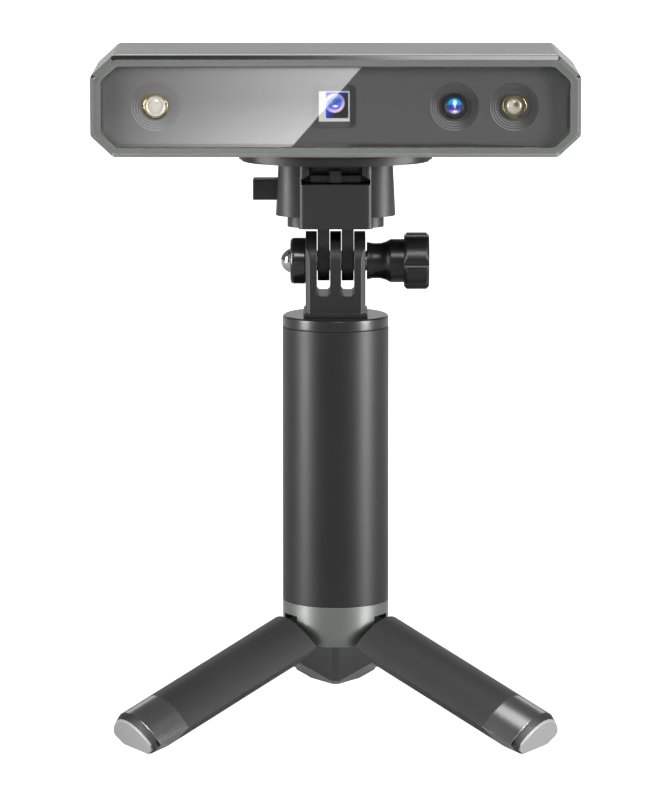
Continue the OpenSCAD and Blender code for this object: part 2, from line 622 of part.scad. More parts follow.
front_bezel();
front_glass();
glass_gasket();
optics_face_plate();
body_shell();
rear_cover();
optical_bench();
main_board();
board_chips();
heat_spreader();
usb_c_port();
status_light_pipe();
button_switch();
power_button();
left_ir_barrel();
left_ir_lens();
right_ir_barrel();
right_ir_lens();
rgb_barrel();
rgb_lens();
projector_housing();
projector_frame();
projector_lens();
sensor_boards();
flex_cables();
tripod_insert();
case_screws();
board_screws();
mounting_plate();
plate_pad();
camera_screw();
quick_release_base();
release_button();
thumb_knob();
clamp_screw();
fork_bracket();
nut_housing();
cap_nut();
bracket_bolt();
top_cap();
grip_sleeve();
core_tube();
hub_collar();
hinge_block();
hub_screw();
hinge_pins();
leg_1_shell();
leg_1_ferrule();
leg_1_ring();
leg_1_foot();
leg_2_shell();
leg_2_ferrule();
leg_2_ring();
leg_2_foot();
leg_3_shell();
leg_3_ferrule();
leg_3_ring();
leg_3_foot();
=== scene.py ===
import bpy, bmesh, math
from mathutils import Vector, Matrix


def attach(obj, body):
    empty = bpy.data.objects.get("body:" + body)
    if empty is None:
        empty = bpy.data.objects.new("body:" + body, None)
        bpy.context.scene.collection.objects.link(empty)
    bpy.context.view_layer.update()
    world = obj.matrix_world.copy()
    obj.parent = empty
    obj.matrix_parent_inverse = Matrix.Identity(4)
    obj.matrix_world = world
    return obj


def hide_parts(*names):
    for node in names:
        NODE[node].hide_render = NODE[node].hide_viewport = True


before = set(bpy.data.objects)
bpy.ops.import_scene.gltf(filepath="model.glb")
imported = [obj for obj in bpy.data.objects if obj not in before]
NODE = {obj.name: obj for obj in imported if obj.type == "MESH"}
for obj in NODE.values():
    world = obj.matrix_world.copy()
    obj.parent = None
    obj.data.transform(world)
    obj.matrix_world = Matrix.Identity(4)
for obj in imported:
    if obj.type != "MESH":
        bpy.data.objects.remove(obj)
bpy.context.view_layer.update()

MM = 0.001
AY = -11.164 * MM          # handle axis
HZ = 158.4 * MM            # middle of the head
HINGE = 118.1 * MM
FLOOR_GLOW = 0.05


# ------------------------------------------------------------------ materials
def principled(name):
    m = bpy.data.materials.new(name)
    m.use_nodes = True
    nt = m.node_tree
    nt.nodes.clear()
    out = nt.nodes.new("ShaderNodeOutputMaterial")
    b = nt.nodes.new("ShaderNodeBsdfPrincipled")
    nt.links.new(b.outputs[0], out.inputs[0])
    return m, nt, b


def surface(name, base, metallic=0.0, rough=0.5, rough_var=0.08, col_var=0.06, grain=1400, bump=0.12,
            bump_mm=0.03, smear=55, spec=0.5, coat=0.0, coat_rough=0.1, edge=None, edge_mm=0.25, sheen=0.0,
            brushed=None, spots=0.0):
    """A moulded or metal surface: large soft variation in colour and gloss, fine grain in the bump, and worn edges."""
    m, nt, b = principled(name)
    n, l = nt.nodes, nt.links
    tc = n.new("ShaderNodeTexCoord")
    coord = tc.outputs["Object"]
    if brushed:
        mp = n.new("ShaderNodeMapping")
        mp.inputs["Scale"].default_value = brushed
        l.new(coord, mp.inputs["Vector"])
        fine_coord = mp.outputs[0]
    else:
        fine_coord = coord
    big = n.new("ShaderNodeTexNoise")
    big.inputs["Scale"].default_value = smear
    big.inputs["Detail"].default_value = 3
    l.new(coord, big.inputs["Vector"])
    fine = n.new("ShaderNodeTexNoise")
    fine.inputs["Scale"].default_value = grain
    fine.inputs["Detail"].default_value = 4
    fine.inputs["Roughness"].default_value = 0.6
    l.new(fine_coord, fine.inputs["Vector"])
    # colour
    ramp = n.new("ShaderNodeMapRange")
    ramp.inputs["From Min"].default_value = 0.3
    ramp.inputs["From Max"].default_value = 0.7
    ramp.inputs["To Min"].default_value = 0.0
    ramp.inputs["To Max"].default_value = 1.0
    l.new(big.outputs["Fac"], ramp.inputs["Value"])
    mix = n.new("ShaderNodeMix")
    mix.data_type = "RGBA"
    lo = [max(0.0, c * (1 - col_var)) for c in base[:3]] + [1]
    hi = [min(1.0, c * (1 + col_var)) for c in base[:3]] + [1]
    mix.inputs["A"].default_value = lo
    mix.inputs["B"].default_value = hi
    l.new(ramp.outputs[0], mix.inputs["Factor"])
    colour = mix.outputs["Result"]
    if spots:
        mixs = n.new("ShaderNodeMix")
        mixs.data_type = "RGBA"
        mr = n.new("ShaderNodeMapRange")
        mr.inputs["From Min"].default_value = 0.35
        mr.inputs["From Max"].default_value = 0.68
        mr.inputs["To Min"].default_value = 0.0
        mr.inputs["To Max"].default_value = spots
        l.new(fine.outputs["Fac"], mr.inputs["Value"])
        mixs.inputs["B"].default_value = [min(1.0, c * 1.9 + 0.01) for c in base[:3]] + [1]
        l.new(colour, mixs.inputs["A"])
        l.new(mr.outputs[0], mixs.inputs["Factor"])
        colour = mixs.outputs["Result"]
    # roughness
    rr = n.new("ShaderNodeMapRange")
    rr.inputs["From Min"].default_value = 0.3
    rr.inputs["From Max"].default_value = 0.7
    rr.inputs["To Min"].default_value = max(0.02, rough - rough_var)
    rr.inputs["To Max"].default_value = min(1.0, rough + rough_var)
    add = n.new("ShaderNodeMath")
    add.operation = "MULTIPLY_ADD"
    add.inputs[1].default_value = 0.5
    l.new(big.outputs["Fac"], add.inputs[0])
    half = n.new("ShaderNodeMath")
    half.operation = "MULTIPLY"
    half.inputs[1].default_value = 0.5
    l.new(fine.outputs["Fac"], half.inputs[0])
    l.new(half.outputs[0], add.inputs[2])
    l.new(add.outputs[0], rr.inputs["Value"])
    rough_out = rr.outputs[0]
    if edge:
        bev = n.new("ShaderNodeBevel")
        bev.samples = 4
        bev.inputs["Radius"].default_value = edge_mm * MM
        geo = n.new("ShaderNodeNewGeometry")
        dot = n.new("ShaderNodeVectorMath")
        dot.operation = "DOT_PRODUCT"
        l.new(bev.outputs[0], dot.inputs[0])
        l.new(geo.outputs["Normal"], dot.inputs[1])
        em = n.new("ShaderNodeMapRange")
        em.inputs["From Min"].default_value = 0.995
        em.inputs["From Max"].default_value = 0.90
        em.inputs["To Min"].default_value = 0.0
        em.inputs["To Max"].default_value = 1.0
        l.new(dot.outputs["Value"], em.inputs["Value"])
        wear = n.new("ShaderNodeMath")
        wear.operation = "MULTIPLY"
        l.new(em.outputs[0], wear.inputs[0])
        l.new(ramp.outputs[0], wear.inputs[1])
        mixe = n.new("ShaderNodeMix")
        mixe.data_type = "RGBA"
        mixe.inputs["B"].default_value = list(edge) + [1]
        l.new(colour, mixe.inputs["A"])
        l.new(wear.outputs[0], mixe.inputs["Factor"])
        colour = mixe.outputs["Result"]
    l.new(colour, b.inputs["Base Color"])
    l.new(rough_out, b.inputs["Roughness"])
    b.inputs["Metallic"].default_value = metallic
    b.inputs["Specular IOR Level"].default_value = spec
    b.inputs["Coat Weight"].default_value = coat
    b.inputs["Coat Roughness"].default_value = coat_rough
    b.inputs["Sheen Weight"].default_value = sheen
    if bump:
        bp = n.new("ShaderNodeBump")
        bp.inputs["Strength"].default_value = bump
        bp.inputs["Distance"].default_value = bump_mm * MM
        l.new(fine.outputs["Fac"], bp.inputs["Height"])
        l.new(bp.outputs[0], b.inputs["Normal"])
    return m


def window_glass(name):
    """Smoked cover glass: mostly clear to what is right behind it, with a mirror gloss on its face."""
    m, nt, b = principled(name)
    n, l = nt.nodes, nt.links
    out = [x for x in n if x.type == "OUTPUT_MATERIAL"][0]
    n.remove(b)
    tr = n.new("ShaderNodeBsdfTransparent")
    tc = n.new("ShaderNodeTexCoord")
    noise = n.new("ShaderNodeTexNoise")
    noise.inputs["Scale"].default_value = 30
    l.new(tc.outputs["Object"], noise.inputs["Vector"])
    mx = n.new("ShaderNodeMix")
    mx.data_type = "RGBA"
    mx.inputs["A"].default_value = (0.93, 0.93, 0.93, 1)
    mx.inputs["B"].default_value = (0.96, 0.96, 0.96, 1)
    l.new(noise.outputs["Fac"], mx.inputs["Factor"])
    l.new(mx.outputs["Result"], tr.inputs["Color"])
    gl = n.new("ShaderNodeBsdfGlossy")
    gl.inputs["Roughness"].default_value = 0.0
    gl.inputs["Color"].default_value = (1, 1, 1, 1)
    lw = n.new("ShaderNodeLayerWeight")
    lw.inputs["Blend"].default_value = 0.5
    pw = n.new("ShaderNodeMath")
    pw.operation = "POWER"
    pw.inputs[1].default_value = 5.0
    l.new(lw.outputs["Facing"], pw.inputs[0])
    fr = n.new("ShaderNodeMath")
    fr.operation = "MULTIPLY_ADD"
    fr.inputs[1].default_value = 0.90
    fr.inputs[2].default_value = 0.10
    l.new(pw.outputs[0], fr.inputs[0])
    mix = n.new("ShaderNodeMixShader")
    l.new(fr.outputs[0], mix.inputs[0])
    l.new(tr.outputs[0], mix.inputs[1])
    l.new(gl.outputs[0], mix.inputs[2])
    l.new(mix.outputs[0], out.inputs[0])
    return m


M = {}
M["bezel"] = surface("bezel_satin", (0.250, 0.264, 0.251), 0.70, 0.24, 0.03, 0.04, grain=2600, bump=0.0)
# bezel_low and bezel_side_painted_shade are lighter and darker copies of the bezel finish: painted light on the lower
# chamfer, painted shade on the side chamfers
M["bezel_low"] = surface("bezel_satin_low_painted_light", (0.31, 0.323, 0.31), 0.30, 0.36, 0.04, 0.04, grain=2600, bump=0.0)
M["bezel_side_painted_shade"] = surface("bezel_side_painted_shade", (0.10, 0.106, 0.10), 0.1, 0.75, 0.04, 0.04, grain=2600, bump=0.0, spec=0.2)
M["bevel"] = surface("bevel_polished", (0.19, 0.20, 0.19), 1.0, 0.19, 0.03, 0.05, grain=2600, bump=0.04, bump_mm=0.015)
M["shell"] = surface("shell_satin", (0.235, 0.238, 0.235), 0.45, 0.48, 0.06, 0.05, grain=2600, bump=0.10, bump_mm=0.02, edge=(0.42, 0.43, 0.42), edge_mm=0.2, spots=0.25)
M["glass"] = window_glass("smoked_glass")
M["gasket"] = surface("gasket", (0.10, 0.10, 0.10), 0, 0.7)
M["face"] = surface("face_plate", (0.110, 0.110, 0.110), 0.0, 0.75, 0.05, 0.04, grain=3000, bump=0.0, spec=0.10)


def paint_ring_and_recess_shade(mat, centres, radii, recess):
    """Painted shade and painted light: thin dark and light lines where the stepped rings turn from the light, and
    painted shade on the right and lower sides of the square recess.
    """
    nt = mat.node_tree
    n, l = nt.nodes, nt.links
    b = [x for x in n if x.type == "BSDF_PRINCIPLED"][0]
    colour = b.inputs["Base Color"].links[0].from_socket
    tc = n.new("ShaderNodeTexCoord")
    for cx in centres:
        sub = n.new("ShaderNodeVectorMath")
        sub.operation = "SUBTRACT"
        sub.inputs[1].default_value = (cx * MM, 0, HZ - 0.15 * MM)
        l.new(tc.outputs["Object"], sub.inputs[0])
        flat = n.new("ShaderNodeVectorMath")
        flat.operation = "MULTIPLY"
        flat.inputs[1].default_value = (1 / MM, 0, 1 / MM)
        l.new(sub.outputs[0], flat.inputs[0])
        ln = n.new("ShaderNodeVectorMath")
        ln.operation = "LENGTH"
        l.new(flat.outputs[0], ln.inputs[0])
        nm = n.new("ShaderNodeVectorMath")
        nm.operation = "NORMALIZE"
        l.new(flat.outputs[0], nm.inputs[0])
        sides = []
        for vec in ((0.92, 0, -0.38), (-0.62, 0, -0.78)):
            dt = n.new("ShaderNodeVectorMath")
            dt.operation = "DOT_PRODUCT"
            dt.inputs[1].default_value = vec
            l.new(nm.outputs[0], dt.inputs[0])
            mp = n.new("ShaderNodeMapRange")
            mp.interpolation_type = "SMOOTHSTEP"
            mp.inputs["From Min"].default_value = 0.1
            mp.inputs["From Max"].default_value = 0.95
            l.new(dt.outputs["Value"], mp.inputs["Value"])
            sides.append(mp.outputs[0])
        total = None
        for r in radii:
            df = n.new("ShaderNodeMath")
            df.operation = "SUBTRACT"
            df.inputs[1].default_value = r
            l.new(ln.outputs["Value"], df.inputs[0])
            ab = n.new("ShaderNodeMath")
            ab.operation = "ABSOLUTE"
            l.new(df.outputs[0], ab.inputs[0])
            mr = n.new("ShaderNodeMapRange")
            mr.interpolation_type = "SMOOTHSTEP"
            mr.inputs["From Min"].default_value = 0.24
            mr.inputs["From Max"].default_value = 0.04
            mr.inputs["To Min"].default_value = 0.0
            mr.inputs["To Max"].default_value = 1.0
            l.new(ab.outputs[0], mr.inputs["Value"])
            if total is None:
                total = mr.outputs[0]
            else:
                ad = n.new("ShaderNodeMath")
                ad.operation = "MAXIMUM"
                l.new(total, ad.inputs[0])
                l.new(mr.outputs[0], ad.inputs[1])
                total = ad.outputs[0]
        # ring lines: painted shade on the side turned from the light, painted light on the other side
        for side, amount, tint in ((sides[0], 0.85, (0.06, 0.06, 0.06, 1)), (sides[1], 0.6, (0.42, 0.42, 0.42, 1))):
            fa = n.new("ShaderNodeMath")
            fa.operation = "MULTIPLY"
            l.new(total, fa.inputs[0])
            l.new(side, fa.inputs[1])
            fb_ = n.new("ShaderNodeMath")
            fb_.operation = "MULTIPLY"
            fb_.inputs[1].default_value = amount
            l.new(fa.outputs[0], fb_.inputs[0])
            mx = n.new("ShaderNodeMix")
            mx.data_type = "RGBA"
            mx.inputs["B"].default_value = tint
            l.new(fb_.outputs[0], mx.inputs["Factor"])
            l.new(colour, mx.inputs["A"])
            colour = mx.outputs["Result"]
    # recess: painted shade, darker towards its right and lower walls
    sep = n.new("ShaderNodeSeparateXYZ")
    l.new(tc.outputs["Object"], sep.inputs[0])
    cx, cz, hw, hh = recess
    fac = None
    for sock, centre, half in (("X", cx * MM, hw * MM), ("Z", HZ + cz * MM, hh * MM)):
        d = n.new("ShaderNodeMath")
        d.operation = "SUBTRACT"
        d.inputs[1].default_value = centre
        l.new(sep.outputs[sock], d.inputs[0])
        ab = n.new("ShaderNodeMath")
        ab.operation = "ABSOLUTE"
        l.new(d.outputs[0], ab.inputs[0])
        ins = n.new("ShaderNodeMapRange")
        ins.inputs["From Min"].default_value = half
        ins.inputs["From Max"].default_value = half - 0.25 * MM
        l.new(ab.outputs[0], ins.inputs["Value"])
        grad = n.new("ShaderNodeMapRange")
        grad.interpolation_type = "SMOOTHSTEP"
        if sock == "X":
            grad.inputs["From Min"].default_value = 0.2 * half
            grad.inputs["From Max"].default_value = half
            grad.inputs["To Max"].default_value = 0.75
            gx = grad
        else:
            grad.inputs["From Min"].default_value = -0.6 * half
            grad.inputs["From Max"].default_value = -half
            grad.inputs["To Max"].default_value = 0.30
            gz = grad
        l.new(d.outputs[0], grad.inputs["Value"])
        if fac is None:
            fac = ins.outputs[0]
        else:
            mu = n.new("ShaderNodeMath")
            mu.operation = "MULTIPLY"
            l.new(fac, mu.inputs[0])
            l.new(ins.outputs[0], mu.inputs[1])
            fac = mu.outputs[0]
    mxx = n.new("ShaderNodeMath")
    mxx.operation = "MAXIMUM"
    l.new(gx.outputs[0], mxx.inputs[0])
    l.new(gz.outputs[0], mxx.inputs[1])
    fin = n.new("ShaderNodeMath")
    fin.operation = "MULTIPLY"
    l.new(fac, fin.inputs[0])
    l.new(mxx.outputs[0], fin.inputs[1])
    mx = n.new("ShaderNodeMix")
    mx.data_type = "RGBA"
    mx.inputs["B"].default_value = (0.06, 0.06, 0.06, 1)
    l.new(fin.outputs[0], mx.inputs["Factor"])
    l.new(colour, mx.inputs["A"])
    l.new(mx.outputs["Result"], b.inputs["Base Color"])


# the face plate gets painted shade and painted light lines round the lenses and painted shade in the projector recess
paint_ring_and_recess_shade(M["face"], (-44.0, 29.1, 43.7), (5.8, 5.2, 4.6, 4.0), (-0.35, -0.15, 5.45, 5.3))
M["inner"] = surface("machined", (0.55, 0.56, 0.57), 1.0, 0.35, 0.08, 0.05, grain=900, brushed=(1, 6, 6))
M["board"] = surface("solder_mask", (0.02, 0.12, 0.05), 0.0, 0.35, 0.08, 0.2, grain=700, coat=0.3)
M["chip"] = surface("chip", (0.02, 0.02, 0.022), 0.0, 0.55)
M["port"] = surface("port_steel", (0.55, 0.55, 0.56), 1.0, 0.28, 0.06, 0.04, grain=1500, brushed=(8, 1, 1))
M["light"] = surface("light_pipe", (0.55, 0.72, 0.60), 0.0, 0.12, 0.03, 0.03, coat=0.5)
M["switch"] = surface("switch", (0.05, 0.05, 0.055), 0.0, 0.5)
M["key"] = surface("key_rubber", (0.022, 0.022, 0.022), 0.0, 0.6, bump=0.2)
M["gold"] = surface("barrel_gold", (0.62, 0.47, 0.22), 1.0, 0.30, 0.06, 0.10, grain=1600, brushed=(1, 8, 1), bump=0.05)
M["pearl"] = surface("ir_pearl_painted_glow", (0.90, 0.85, 0.76), 0.15, 0.22, 0.04, 0.05, coat=1.0, coat_rough=0.04, bump=0.0)
pn = M["pearl"].node_tree.nodes
pb = [x for x in pn if x.type == "BSDF_PRINCIPLED"][0]
# painted light: the pearl lens disc glows a little, though it is no lamp
pb.inputs["Emission Color"].default_value = (1.0, 0.95, 0.85, 1)
pb.inputs["Emission Strength"].default_value = 0.12
M["barrel"] = surface("barrel_black", (0.005, 0.005, 0.006), 0.0, 0.40, 0.05, bump=0.03, spec=0.12)
M["blue"] = surface("rgb_blue", (0.02, 0.16, 0.50), 0.6, 0.12, 0.03, 0.3, smear=700, coat=1.0, coat_rough=0.02, bump=0.0)
M["housing"] = surface("housing", (0.02, 0.02, 0.022), 0.0, 0.5)
M["frame"] = surface("projector_pearl", (0.82, 0.82, 0.79), 0.0, 0.30, 0.06, 0.03, coat=0.4)
M["violet"] = surface("projector_glass", (0.05, 0.07, 0.42), 0.5, 0.10, 0.03, 0.4, smear=600, coat=1.0, coat_rough=0.02, bump=0.0)
M["flex"] = surface("flex_film", (0.45, 0.20, 0.04), 0.0, 0.3)
M["brass"] = surface("insert_brass", (0.62, 0.45, 0.18), 1.0, 0.3)
M["steel"] = surface("screw_steel", (0.50, 0.50, 0.51), 1.0, 0.3, 0.08, 0.06)
M["oxide"] = surface("screw_black", (0.05, 0.05, 0.05), 0.8, 0.4)
M["plate"] = surface("plate_black", (0.009, 0.009, 0.009), 0.0, 0.42, 0.05, 0.1, grain=2200, bump=0.3, bump_mm=0.03)
M["base"] = surface("base_black", (0.010, 0.010, 0.010), 0.0, 0.46, 0.05, 0.1, grain=2200, bump=0.3, bump_mm=0.03)
M["fork"] = surface("fork_black", (0.009, 0.009, 0.009), 0.0, 0.42, 0.06, 0.1, grain=2200, bump=0.3, bump_mm=0.03)
M["knob"] = surface("knob_black", (0.006, 0.006, 0.006), 0.0, 0.30, 0.05, 0.1, grain=1600, bump=0.15, bump_mm=0.02)
M["gloss"] = surface("gloss_black", (0.010, 0.010, 0.010), 0.0, 0.22, 0.04, 0.1, coat=0.4, bump=0.05)
M["chrome"] = surface("nut_chrome", (0.62, 0.62, 0.63), 1.0, 0.09, 0.03, 0.02, bump=0.0)
M["cap"] = surface("cap_gloss", (0.010, 0.010, 0.010), 0.0, 0.33, 0.03, 0.1, coat=0.15, coat_rough=0.25, bump=0.02)
M["grip"] = surface("grip_rubber", (0.006, 0.006, 0.006), 0.0, 0.41, 0.04, 0.06, grain=3200, bump=0.25, bump_mm=0.02, sheen=0.0)
M["collar"] = surface("collar_satin", (0.235, 0.243, 0.232), 0.92, 0.36, 0.05, 0.04, grain=2600, brushed=(1, 1, 12), bump=0.06, bump_mm=0.02, edge=(0.7, 0.7, 0.69), edge_mm=0.15)
M["hinge"] = surface("hinge_black", (0.03, 0.03, 0.03), 0.3, 0.5)
M["pin"] = surface("pin_steel", (0.6, 0.6, 0.61), 1.0, 0.25)
M["leg"] = surface("leg_rubber", (0.018, 0.018, 0.018), 0.0, 0.52, 0.04, 0.06, grain=3200, bump=0.25, bump_mm=0.02)
M["ferrule"] = surface("ferrule_gloss", (0.27, 0.27, 0.27), 0.95, 0.25, 0.02, 0.03, bump=0.0)
M["ring"] = surface("ring_black", (0.010, 0.010, 0.010), 0.0, 0.5)
M["foot"] = surface("foot_grey", (0.30, 0.30, 0.30), 0.2, 0.5, 0.05, 0.05)


def painted_light_coat(name, base, stops, axis_vec, half, metallic=0.4, rough=0.12, painted_spots_at=(), centre=(0, 0, 0), noise=0.12, glow=0.7):
    """Coated glass with painted light: colour runs along a direction as painted reflection and shade, with soft painted
    highlights and painted dark spots at given places (mm from the centre), and the colour glows.
    """
    m, nt, b = principled(name)
    n, l = nt.nodes, nt.links
    tc = n.new("ShaderNodeTexCoord")
    sub = n.new("ShaderNodeVectorMath")
    sub.operation = "SUBTRACT"
    sub.inputs[1].default_value = centre
    l.new(tc.outputs["Object"], sub.inputs[0])
    nz = n.new("ShaderNodeTexNoise")
    nz.inputs["Scale"].default_value = 900
    l.new(sub.outputs[0], nz.inputs["Vector"])
    dot = n.new("ShaderNodeVectorMath")
    dot.operation = "DOT_PRODUCT"
    dot.inputs[1].default_value = [a / (half * MM) for a in axis_vec]
    l.new(sub.outputs[0], dot.inputs[0])
    mr = n.new("ShaderNodeMapRange")
    mr.inputs["From Min"].default_value = -1
    mr.inputs["From Max"].default_value = 1
    l.new(dot.outputs["Value"], mr.inputs["Value"])
    wob = n.new("ShaderNodeMath")
    wob.operation = "MULTIPLY_ADD"
    wob.inputs[1].default_value = noise
    l.new(nz.outputs["Fac"], wob.inputs[0])
    off = n.new("ShaderNodeMath")
    off.operation = "SUBTRACT"
    off.inputs[1].default_value = noise / 2
    l.new(mr.outputs[0], off.inputs[0])
    l.new(off.outputs[0], wob.inputs[2])
    cr = n.new("ShaderNodeValToRGB")
    e = cr.color_ramp.elements
    e[0].position, e[0].color = stops[0][0], list(stops[0][1]) + [1]
    e[1].position, e[1].color = stops[-1][0], list(stops[-1][1]) + [1]
    for pos, col in stops[1:-1]:
        x = e.new(pos)
        x.color = list(col) + [1]
    l.new(wob.outputs[0], cr.inputs[0])
    colour = cr.outputs[0]
    emit = None
    # painted highlights and painted dark spots, each a soft ellipse of colour
    for (px, pz, rx, rz, col, gain) in painted_spots_at:
        s1 = n.new("ShaderNodeVectorMath")
        s1.operation = "SUBTRACT"
        s1.inputs[1].default_value = (px * MM, 0, pz * MM)
        l.new(sub.outputs[0], s1.inputs[0])
        s2 = n.new("ShaderNodeVectorMath")
        s2.operation = "MULTIPLY"
        s2.inputs[1].default_value = (1 / (rx * MM), 0, 1 / (rz * MM))
        l.new(s1.outputs[0], s2.inputs[0])
        ln = n.new("ShaderNodeVectorMath")
        ln.operation = "LENGTH"
        l.new(s2.outputs[0], ln.inputs[0])
        f = n.new("ShaderNodeMapRange")
        f.interpolation_type = "SMOOTHSTEP"
        f.inputs["From Min"].default_value = 1.0
        f.inputs["From Max"].default_value = 0.45
        f.inputs["To Min"].default_value = 0.0
        f.inputs["To Max"].default_value = gain
        l.new(ln.outputs["Value"], f.inputs["Value"])
        mx = n.new("ShaderNodeMix")
        mx.data_type = "RGBA"
        mx.inputs["B"].default_value = list(col) + [1]
        l.new(f.outputs[0], mx.inputs["Factor"])
        l.new(colour, mx.inputs["A"])
        colour = mx.outputs["Result"]
    l.new(colour, b.inputs["Base Color"])
    # painted glow: the painted colour is also emitted, though the part is no lamp
    l.new(colour, b.inputs["Emission Color"])
    b.inputs["Emission Strength"].default_value = glow
    b.inputs["Metallic"].default_value = metallic
    b.inputs["Roughness"].default_value = rough
    b.inputs["Coat Weight"].default_value = 0.6
    b.inputs["Coat Roughness"].default_value = 0.03
    return m


YC = AY - 17 * MM
# colour camera lens: painted reflection in the colour bands, painted highlights (white, pale blue, pink) and two
# painted dark spots, all glowing
M["blue"] = painted_light_coat("rgb_blue", None, [(0.0, (0.75, 0.70, 0.95)), (0.14, (0.45, 0.35, 0.9)), (0.30, (0.03, 0.04, 0.35)), (0.52, (0.02, 0.06, 0.45)), (0.66, (0.0, 0.35, 0.80)), (1.0, (0.02, 0.50, 0.90))],
                    (0, 0, 1), 1.87, painted_spots_at=((0.05, 0.75, 0.62, 0.75, (0.95, 1.0, 1.0), 1.0), (0.05, 0.0, 0.28, 0.7, (0.75, 0.85, 1.0), 0.8), (0.1, -1.3, 0.75, 0.42, (1.0, 0.82, 0.95), 0.9),
                                               (-1.0, -0.1, 0.5, 0.7, (0.01, 0.01, 0.25), 0.8), (1.0, -0.35, 0.5, 0.6, (0.01, 0.02, 0.30), 0.8)),
                    centre=(29.1 * MM, YC, HZ - 0.15 * MM), metallic=0.3)
PCZ = HZ + 0.55 * MM
# projector cell: blue running to near black towards the lower right as painted shade, and glowing
M["cellblue"] = painted_light_coat("projector_cell_painted_shade", None, [(0.0, (0.0, 0.03, 0.42)), (0.42, (0.0, 0.04, 0.50)), (0.56, (0.0, 0.01, 0.16)), (0.66, (0.002, 0.002, 0.004)), (1.0, (0.002, 0.002, 0.002))],
                        (0.75, 0, -0.45), 3.6, centre=(0.2 * MM, YC, PCZ), metallic=0.0, rough=0.2, noise=0.05)
# projector violet ring: pale to violet to pink along a direction as painted reflection, and glowing
M["violet"] = painted_light_coat("projector_violet_painted_reflection", None, [(0.0, (0.85, 0.80, 0.95)), (0.3, (0.30, 0.35, 0.85)), (0.55, (0.22, 0.18, 0.75)), (0.8, (0.80, 0.45, 0.90)), (1.0, (0.95, 0.70, 0.95))],
                      (0.5, 0, -0.85), 2.3, centre=(-0.2 * MM, YC, PCZ), metallic=0.2)
# projector dome: painted highlight (pale cyan) and a painted grey reflection over a blue gradient, glowing
M["domeblue"] = painted_light_coat("projector_dome_painted_glints", None, [(0.0, (0.30, 0.36, 0.55)), (0.4, (0.10, 0.16, 0.50)), (0.5, (0.03, 0.08, 0.50)), (0.75, (0.08, 0.22, 0.85)), (1.0, (0.10, 0.12, 0.60))],
                        (0.5, 0, -0.85), 1.7, painted_spots_at=((0.15, -0.75, 0.85, 0.38, (0.80, 0.97, 1.0), 1.0), (-0.75, -0.2, 0.3, 0.9, (0.25, 0.33, 0.40), 0.6)),
                        centre=(-0.2 * MM, YC, PCZ), metallic=0.2)
M["rimwhite"] = surface("projector_rim_white", (0.85, 0.84, 0.92), 0.2, 0.2, bump=0.0, coat=0.5)
# a darker copy of the gold barrel colour for the right camera: painted shade
M["gold_painted_shade"] = surface("barrel_gold_dark", (0.22, 0.17, 0.085), 1.0, 0.30, 0.06, 0.12, grain=1600, brushed=(1, 8, 1), bump=0.05)
M["gold_dull"] = surface("flange_gold", (0.30, 0.26, 0.17), 0.9, 0.40, 0.06, 0.10, grain=1600, bump=0.05)
# right IR dome: painted shade, light on the left running to dark brown at the upper right, a dark painted shadow spot,
# painted highlight spots, and a faint glow
M["champagne"] = painted_light_coat("dome_champagne_painted_shade", None, [(0.0, (0.86, 0.82, 0.72)), (0.35, (0.74, 0.69, 0.57)), (0.60, (0.52, 0.46, 0.35)), (1.0, (0.40, 0.35, 0.25))],
                         (0.9, 0, 0.35), 1.94, painted_spots_at=((0.55, 0.55, 0.95, 0.85, (0.10, 0.085, 0.06), 0.85), (0.45, -0.95, 0.95, 0.55, (0.62, 0.57, 0.45), 0.7),
                                                         (-0.85, 0.35, 0.5, 0.9, (0.95, 0.92, 0.85), 0.7)),
                         centre=(43.7 * MM, YC, HZ - 0.15 * MM), metallic=0.4, rough=0.28, glow=0.22)
M["stop"] = surface("lens_stop", (0.004, 0.004, 0.005), 0.0, 0.50, 0.05, 0.08, grain=1600)

USE = {
    "front_bezel": "bezel", "front_glass": "glass", "glass_gasket": "gasket", "optics_face_plate": "face",
    "body_shell": "shell", "rear_cover": "shell", "optical_bench": "inner", "main_board": "board",
    "board_chips": "chip", "heat_spreader": "inner", "usb_c_port": "port", "status_light_pipe": "light",
    "button_switch": "switch", "power_button": "key", "left_ir_barrel": "gold", "left_ir_lens": "pearl",
    "right_ir_barrel": "gold", "right_ir_lens": "pearl", "rgb_barrel": "barrel", "rgb_lens": "blue",
    "projector_housing": "housing", "projector_frame": "frame", "projector_lens": "violet",
    "sensor_boards": "board", "flex_cables": "flex", "tripod_insert": "brass", "case_screws": "oxide",
    "board_screws": "steel", "mounting_plate": "plate", "plate_pad": "gasket", "camera_screw": "steel",
    "quick_release_base": "base", "release_button": "base", "thumb_knob": "knob", "clamp_screw": "steel",
    "fork_bracket": "fork", "nut_housing": "gloss", "cap_nut": "chrome", "bracket_bolt": "steel",
    "top_cap": "cap", "grip_sleeve": "grip", "core_tube": "inner", "hub_collar": "collar",
    "hinge_block": "hinge", "hub_screw": "steel", "hinge_pins": "pin",
}
for i in "123":
    USE["leg_%s_shell" % i] = "leg"
    USE["leg_%s_ferrule" % i] = "ferrule"
    USE["leg_%s_ring" % i] = "ring"
    USE["leg_%s_foot" % i] = "foot"

